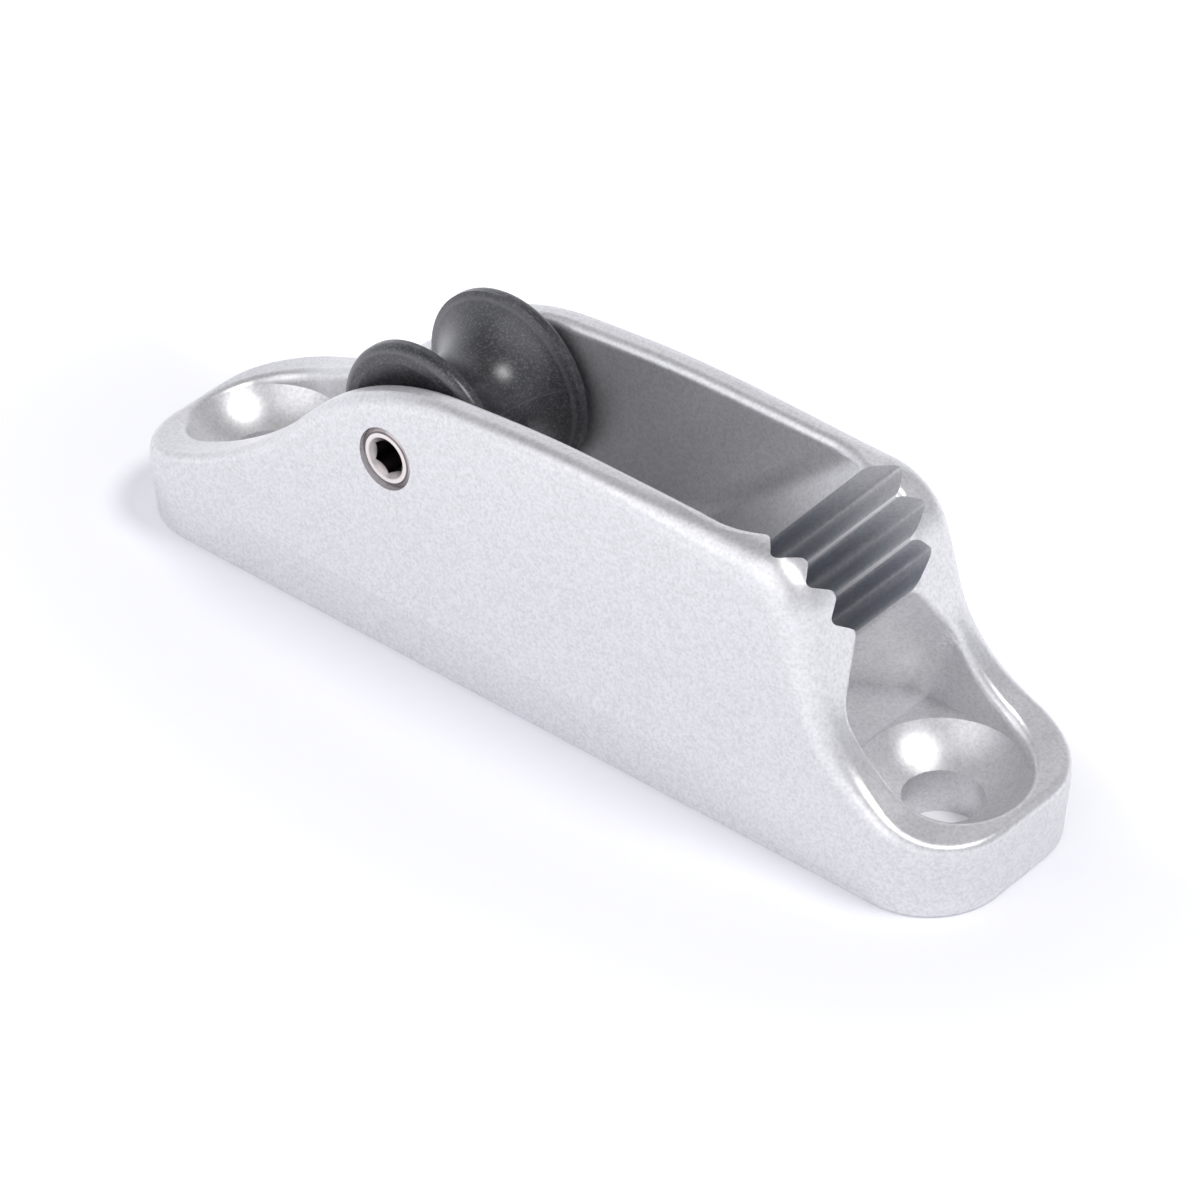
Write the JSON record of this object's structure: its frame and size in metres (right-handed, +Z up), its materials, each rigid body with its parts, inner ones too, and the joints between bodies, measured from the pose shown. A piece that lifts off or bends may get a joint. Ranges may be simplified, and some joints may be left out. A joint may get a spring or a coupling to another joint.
{
  "type": "jam cleat",
  "caption": "Low cast cleat for a thin rope: an open channel with a grooved guide roller on a pin, slanted gripping teeth on a V of jaws, and a screw hole in the low ear at each end.",
  "frame": {"origin": "middle of the flat base, on the deck surface", "axes": "+X from the roller end to the toothed end, +Y to the side where the axle bore is blind, +Z up from the deck"},
  "size_m": [0.0808, 0.019, 0.0245],
  "materials": {
    "cast_body": "satin die casting with a fine metallic grain",
    "roller": "charcoal moulded plastic, finely textured",
    "axle_screw": "turned stainless steel"
  },
  "bodies": {
    "cleat": {"cleat_body": "cast_body", "axle_screw": "axle_screw"},
    "guide_roller": {"roller": "roller"}
  },
  "joints": [
    {"name": "roller_spin", "type": "hinge", "parent": "cleat", "child": "guide_roller", "pos_m": [-0.012, 0, 0.017], "axis": [0, 1, 0], "continuous": true}
  ]
}
